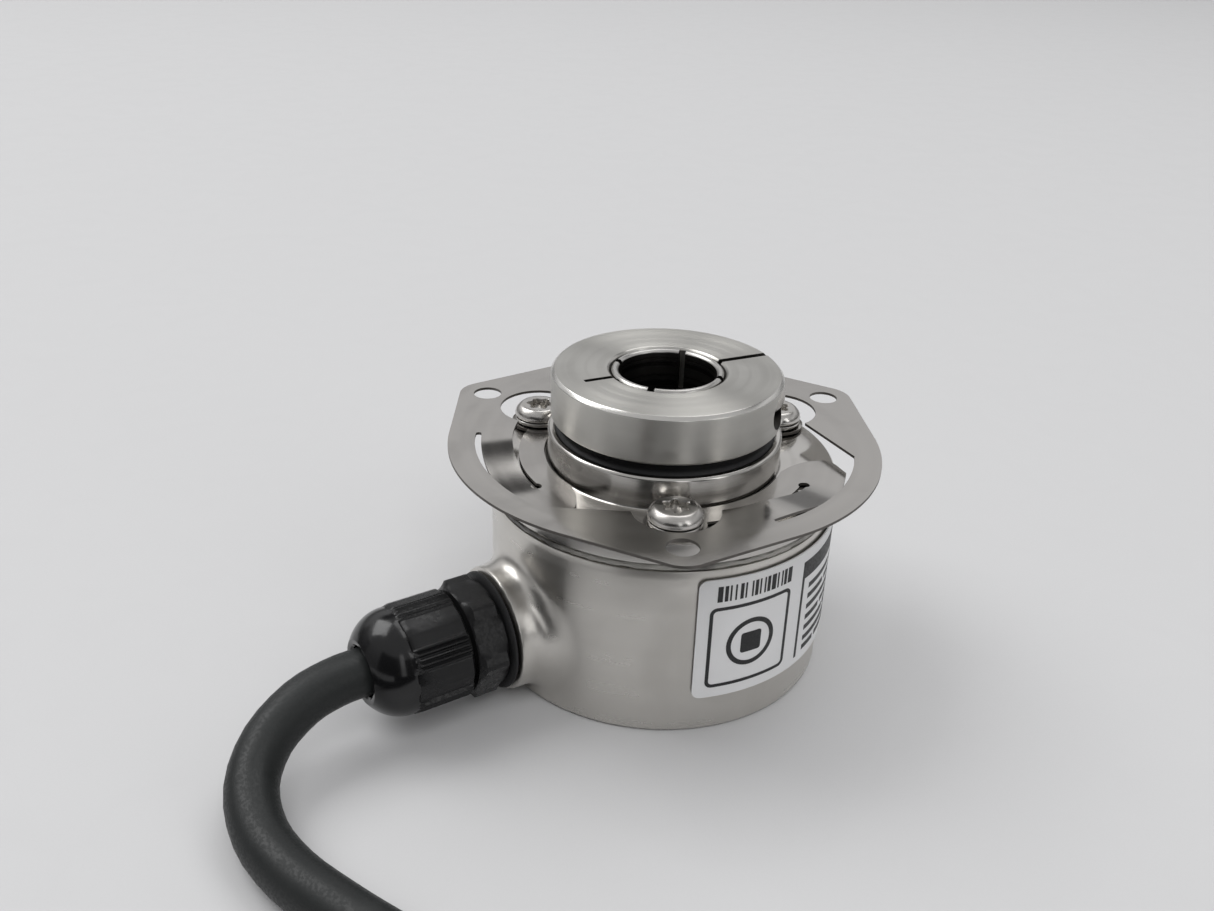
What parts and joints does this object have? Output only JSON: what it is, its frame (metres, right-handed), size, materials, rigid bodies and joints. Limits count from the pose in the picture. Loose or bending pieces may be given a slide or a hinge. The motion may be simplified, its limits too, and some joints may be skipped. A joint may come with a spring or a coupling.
{
  "type": "rotary encoder",
  "caption": "Hollow-shaft rotary encoder: round steel housing, split clamp ring on a slotted shaft, two-level spring-sheet coupling, side cable gland and coiled cable.",
  "frame": {"origin": "centre of the closed rear face, on the shaft axis", "axes": "+Z along the shaft towards the clamp ring; +X to the right with the cable gland at front left"},
  "size_m": [0.0958, 0.1909, 0.0443],
  "materials": {
    "cup_steel": "polished stainless, satin swirl",
    "flange_steel": "mirror polished stainless",
    "shaft_steel": "fine turned stainless",
    "clamp_steel": "turned side, satin face",
    "spring_sheet": "bright rolled spring sheet",
    "screw_steel": "bright cold-formed screw",
    "bearing_steel": "ground",
    "cage_brass": "pressed",
    "black_rubber": "satin",
    "sealant": "ragged bead",
    "label_film": "satin film with black print",
    "disc_glass": "clear with a dark track",
    "brass": "turned",
    "board_laminate": "solder mask",
    "dark_plastic": "moulded",
    "gland_plastic": "moulded, fine grain, glossy dome",
    "cable_sheath": "matt with a soft sheen",
    "lead_insulation": "coloured insulation"
  },
  "bodies": {
    "housing": {"housing_cup": "cup_steel", "front_flange": "flange_steel", "housing_o_ring": "black_rubber", "seam_sealant": "sealant", "shaft_seal": "black_rubber", "front_bearing_outer_ring": "bearing_steel", "rear_bearing_outer_ring": "bearing_steel", "wave_spring": "bearing_steel", "stator_coupling": "spring_sheet", "coupling_screw_1": "screw_steel", "coupling_screw_2": "screw_steel", "coupling_screw_3": "screw_steel", "coupling_washer_1": "screw_steel", "coupling_washer_2": "screw_steel", "coupling_washer_3": "screw_steel", "rating_label": "label_film", "main_board": "board_laminate", "board_spacer_1": "brass", "board_spacer_2": "brass", "board_spacer_3": "brass", "board_screw_1": "screw_steel", "board_screw_2": "screw_steel", "board_screw_3": "screw_steel", "sensor_chip": "dark_plastic", "emitter_block": "dark_plastic", "terminal_block": "dark_plastic", "gland_body": "gland_plastic", "gland_gasket": "black_rubber", "gland_seal": "black_rubber", "gland_dome_nut": "gland_plastic", "sheath_in_gland": "cable_sheath", "inner_leads": "lead_insulation", "cable_tube": "cable_sheath", "cable_coil": "cable_sheath", "cable_lead_ends": "lead_insulation"},
    "rotor": {"hollow_shaft": "shaft_steel", "clamp_ring": "clamp_steel", "clamp_screw": "screw_steel", "front_bearing_inner_ring": "bearing_steel", "rear_bearing_inner_ring": "bearing_steel", "bearing_spacer": "bearing_steel", "shaft_circlip": "bearing_steel", "code_disc": "disc_glass", "disc_clamp_ring": "brass"},
    "ball_sets": {"front_bearing_balls": "cage_brass", "rear_bearing_balls": "cage_brass"}
  },
  "joints": [
    {"name": "shaft_spin", "type": "hinge", "parent": "housing", "child": "rotor", "pos_m": [0, 0, 0.02], "axis": [0, 0, 1], "continuous": true},
    {"name": "ball_set_spin", "type": "hinge", "parent": "housing", "child": "ball_sets", "pos_m": [0, 0, 0.02], "axis": [0, 0, 1], "continuous": true}
  ],
  "couplings": [
    {"joint": "ball_set_spin", "follows": "shaft_spin", "ratio": 0.45}
  ]
}
